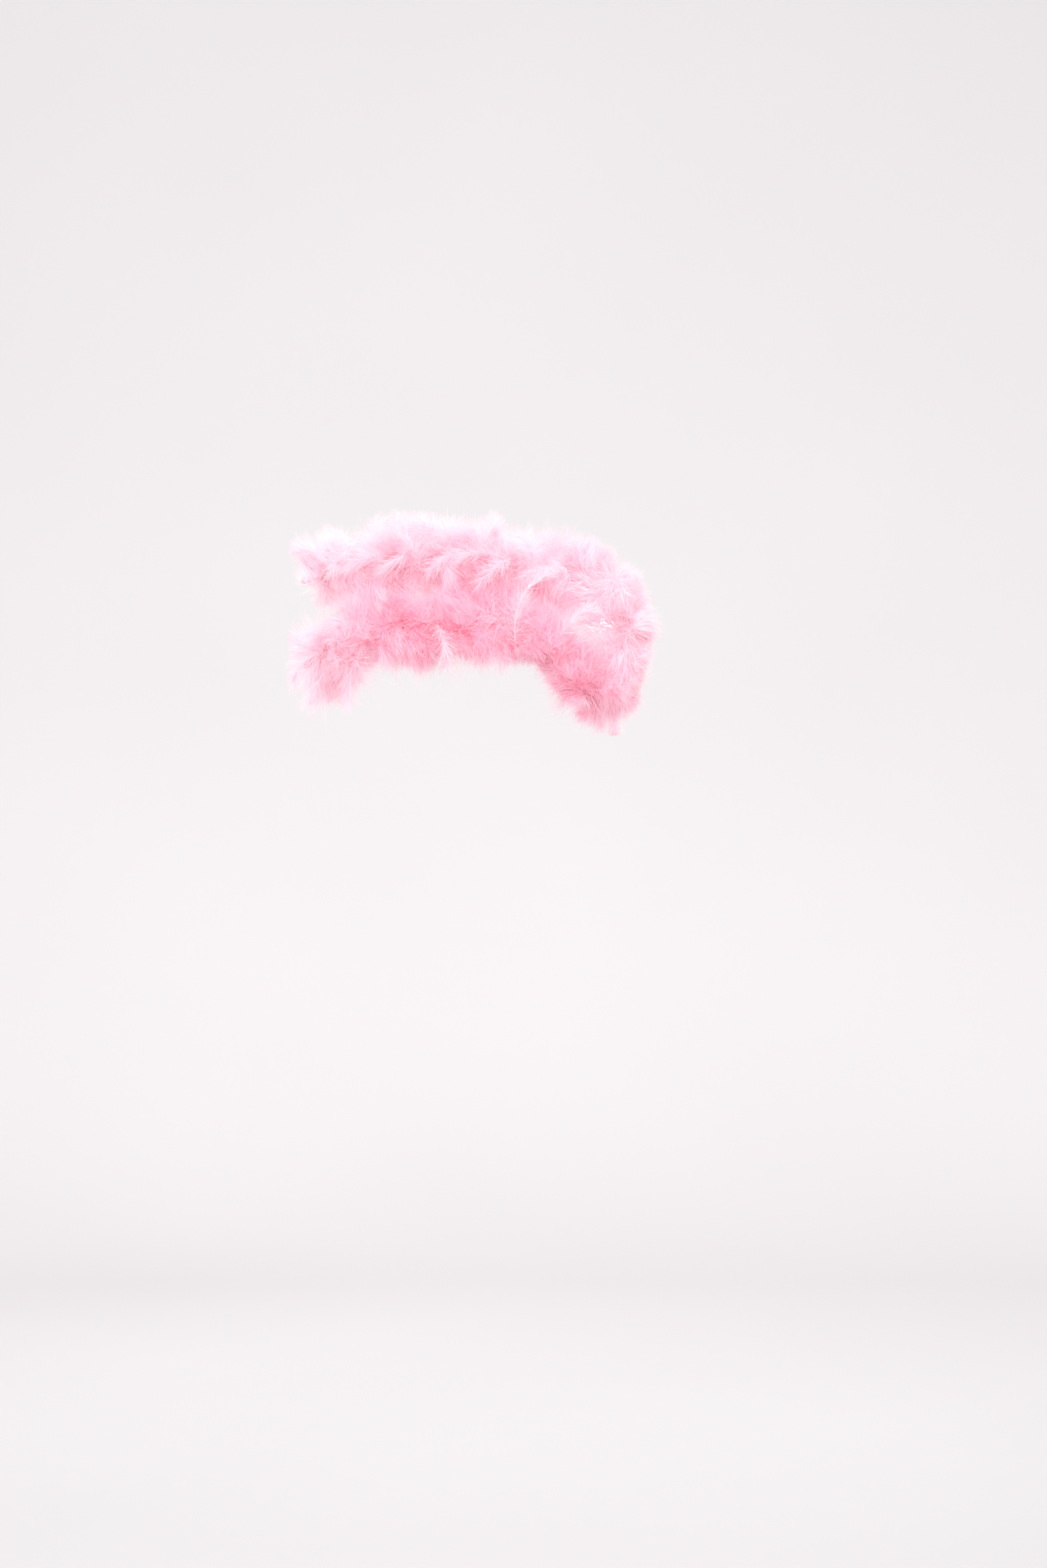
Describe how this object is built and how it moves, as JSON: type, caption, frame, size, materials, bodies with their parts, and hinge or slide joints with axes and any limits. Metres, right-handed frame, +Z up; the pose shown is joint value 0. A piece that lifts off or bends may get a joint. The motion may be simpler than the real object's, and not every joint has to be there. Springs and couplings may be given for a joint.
{
  "type": "feather boa",
  "caption": "Short marabou feather boa doubled back in a hairpin, with a twisted string core, bound plumes and whipped ends, hung by thread tacks.",
  "frame": {"origin": "middle of the sewn line along the boa's back run, where the thread tacks meet the garment's edge", "axes": "+X along the back run towards the hairpin turn, +Z up, -Y out from the garment towards the viewer"},
  "size_m": [0.3302, 0.1101, 0.1782],
  "materials": {
    "marabou_down": "soft translucent down with paler tips and deep pink roots",
    "core_string": "matt twisted cotton",
    "quill": "smooth pale keratin with a slight shine",
    "binding_thread": "fine polyester thread",
    "tacking_thread": "sewing thread",
    "glue": "dried clear glue, slightly glossy"
  },
  "bodies": {
    "upper_end": {"marabou_tuft_01": "marabou_down", "marabou_tuft_02": "marabou_down", "marabou_tuft_03": "marabou_down", "core_string_a_upper_end": "core_string", "core_string_b_upper_end": "core_string", "quills_upper_end": "quill", "binding_thread_upper_end": "binding_thread", "whipping_upper_end": "binding_thread", "end_seal_upper_end": "glue"},
    "back_run": {"marabou_tuft_04": "marabou_down", "marabou_tuft_05": "marabou_down", "marabou_tuft_06": "marabou_down", "marabou_tuft_07": "marabou_down", "marabou_tuft_08": "marabou_down", "marabou_tuft_09": "marabou_down", "marabou_tuft_10": "marabou_down", "marabou_tuft_11": "marabou_down", "marabou_tuft_12": "marabou_down", "core_string_a_back_run": "core_string", "core_string_b_back_run": "core_string", "quills_back_run": "quill", "binding_thread_back_run": "binding_thread", "garment_tacks": "tacking_thread"},
    "right_turn": {"marabou_tuft_13": "marabou_down", "marabou_tuft_14": "marabou_down", "marabou_tuft_15": "marabou_down", "marabou_tuft_16": "marabou_down", "marabou_tuft_17": "marabou_down", "marabou_tuft_18": "marabou_down", "marabou_tuft_19": "marabou_down", "marabou_tuft_20": "marabou_down", "marabou_tuft_21": "marabou_down", "marabou_tuft_22": "marabou_down", "marabou_tuft_23": "marabou_down", "marabou_tuft_24": "marabou_down", "core_string_a_right_turn": "core_string", "core_string_b_right_turn": "core_string", "quills_right_turn": "quill", "binding_thread_right_turn": "binding_thread"},
    "front_run": {"marabou_tuft_25": "marabou_down", "marabou_tuft_26": "marabou_down", "marabou_tuft_27": "marabou_down", "marabou_tuft_28": "marabou_down", "marabou_tuft_29": "marabou_down", "marabou_tuft_30": "marabou_down", "marabou_tuft_31": "marabou_down", "core_string_a_front_run": "core_string", "core_string_b_front_run": "core_string", "quills_front_run": "quill", "binding_thread_front_run": "binding_thread"},
    "front_end": {"marabou_tuft_32": "marabou_down", "marabou_tuft_33": "marabou_down", "marabou_tuft_34": "marabou_down", "core_string_a_front_end": "core_string", "core_string_b_front_end": "core_string", "quills_front_end": "quill", "binding_thread_front_end": "binding_thread", "whipping_front_end": "binding_thread", "end_seal_front_end": "glue"}
  },
  "joints": [
    {"name": "upper_end_flex", "type": "hinge", "parent": "back_run", "child": "upper_end", "pos_m": [-0.09308, -0.01, 0.00207], "axis": [0, 0, 1], "range_deg": [-24, 24]},
    {"name": "turn_flex", "type": "hinge", "parent": "back_run", "child": "right_turn", "pos_m": [0.08676, -0.00989, -0.00939], "axis": [0, 0, 1], "range_deg": [0, 24]},
    {"name": "front_run_flex", "type": "hinge", "parent": "right_turn", "child": "front_run", "pos_m": [0.04244, -0.05131, -0.07032], "axis": [0, 0, 1], "range_deg": [0, 24]},
    {"name": "front_end_flex", "type": "hinge", "parent": "front_run", "child": "front_end", "pos_m": [-0.09435, -0.052, -0.06158], "axis": [0, 0, 1], "range_deg": [-24, 24]}
  ]
}
